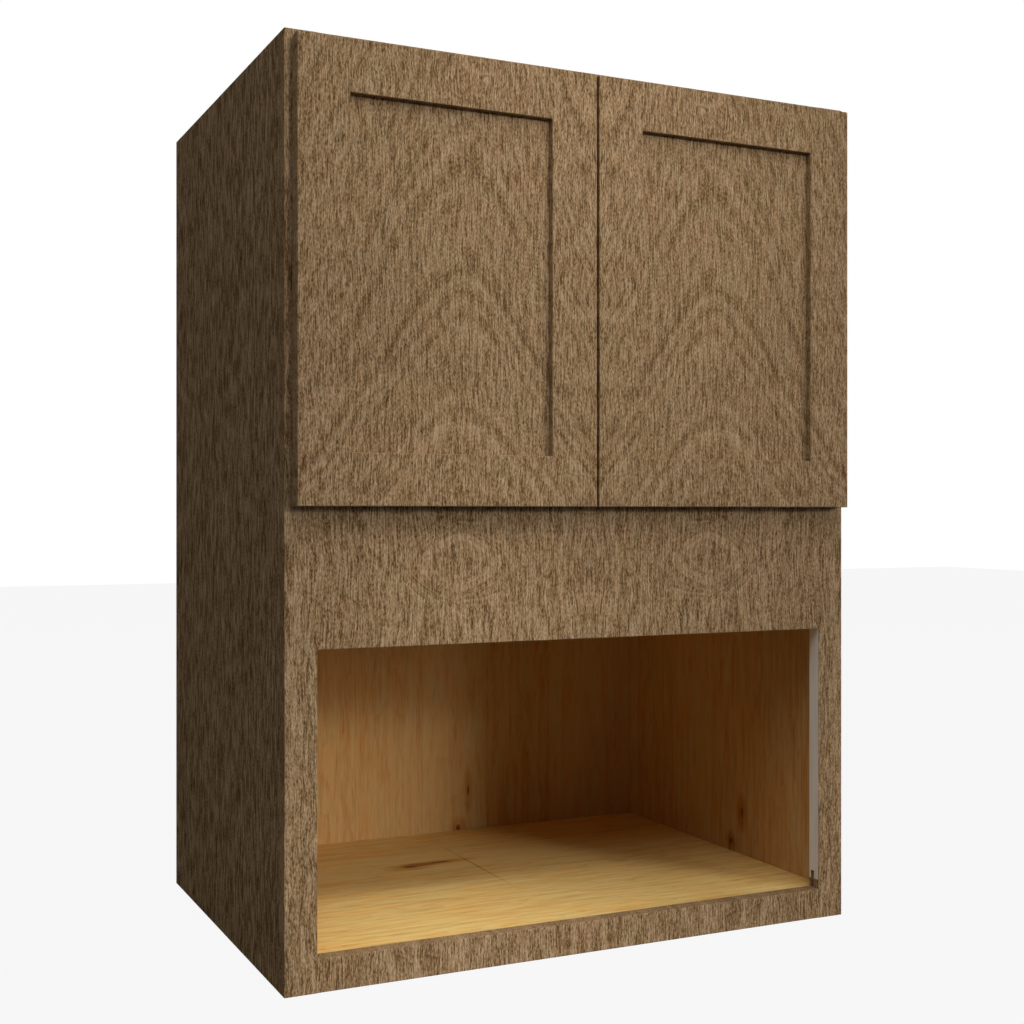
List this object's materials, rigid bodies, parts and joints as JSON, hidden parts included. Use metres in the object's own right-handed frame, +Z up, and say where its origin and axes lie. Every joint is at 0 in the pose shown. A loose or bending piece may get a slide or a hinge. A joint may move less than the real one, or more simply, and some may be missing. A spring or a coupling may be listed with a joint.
{
  "type": "microwave cabinet",
  "caption": "Wall-hung face-frame cabinet with an open oven niche below and a cupboard behind a pair of recessed-panel doors on cup hinges above.",
  "frame": {"origin": "middle of the underside, halfway between the door fronts and the back edge", "axes": "+X to the viewer's right, +Y towards the wall, +Z up"},
  "size_m": [0.762, 0.566, 1.067],
  "materials": {
    "stained_oak": "grey-brown stained oak veneer, satin",
    "natural_wood": "clear-coated natural maple ply, satin",
    "hinge_zinc": "nickel-plated casting",
    "hinge_steel": "nickel-plated pressed steel",
    "bumper_plastic": "soft translucent plastic"
  },
  "bodies": {
    "cabinet": {"left_side": "stained_oak", "right_side": "stained_oak", "niche_floor": "natural_wood", "middle_deck": "natural_wood", "top_panel": "natural_wood", "back_panel": "natural_wood", "top_hanging_rail": "natural_wood", "middle_hanging_rail": "natural_wood", "bottom_hanging_rail": "natural_wood", "bottom_rail": "stained_oak", "wide_middle_rail": "stained_oak", "top_rail": "stained_oak", "left_stile": "stained_oak", "right_stile": "stained_oak", "left_lower_hinge_arm": "hinge_steel", "left_upper_hinge_arm": "hinge_steel", "right_lower_hinge_arm": "hinge_steel", "right_upper_hinge_arm": "hinge_steel", "cupboard_shelf": "natural_wood", "left_front_shelf_pin": "hinge_steel", "left_back_shelf_pin": "hinge_steel", "right_front_shelf_pin": "hinge_steel", "right_back_shelf_pin": "hinge_steel"},
    "left_door": {"left_door_hinge_stile": "stained_oak", "left_door_meeting_stile": "stained_oak", "left_door_bottom_rail": "stained_oak", "left_door_top_rail": "stained_oak", "left_door_panel": "stained_oak", "left_door_lower_hinge_cup": "hinge_zinc", "left_door_lower_hinge_pin": "hinge_steel", "left_door_upper_hinge_cup": "hinge_zinc", "left_door_upper_hinge_pin": "hinge_steel", "left_door_lower_bumper": "bumper_plastic", "left_door_upper_bumper": "bumper_plastic"},
    "right_door": {"right_door_hinge_stile": "stained_oak", "right_door_meeting_stile": "stained_oak", "right_door_bottom_rail": "stained_oak", "right_door_top_rail": "stained_oak", "right_door_panel": "stained_oak", "right_door_lower_hinge_cup": "hinge_zinc", "right_door_lower_hinge_pin": "hinge_steel", "right_door_upper_hinge_cup": "hinge_zinc", "right_door_upper_hinge_pin": "hinge_steel", "right_door_lower_bumper": "bumper_plastic", "right_door_upper_bumper": "bumper_plastic"}
  },
  "joints": [
    {"name": "left_door_swing", "type": "hinge", "parent": "cabinet", "child": "left_door", "pos_m": [-0.365, -0.2715, 0.7995], "axis": [0, 0, -1], "range_deg": [0, 105]},
    {"name": "right_door_swing", "type": "hinge", "parent": "cabinet", "child": "right_door", "pos_m": [0.365, -0.2715, 0.7995], "axis": [0, 0, 1], "range_deg": [0, 105]}
  ]
}
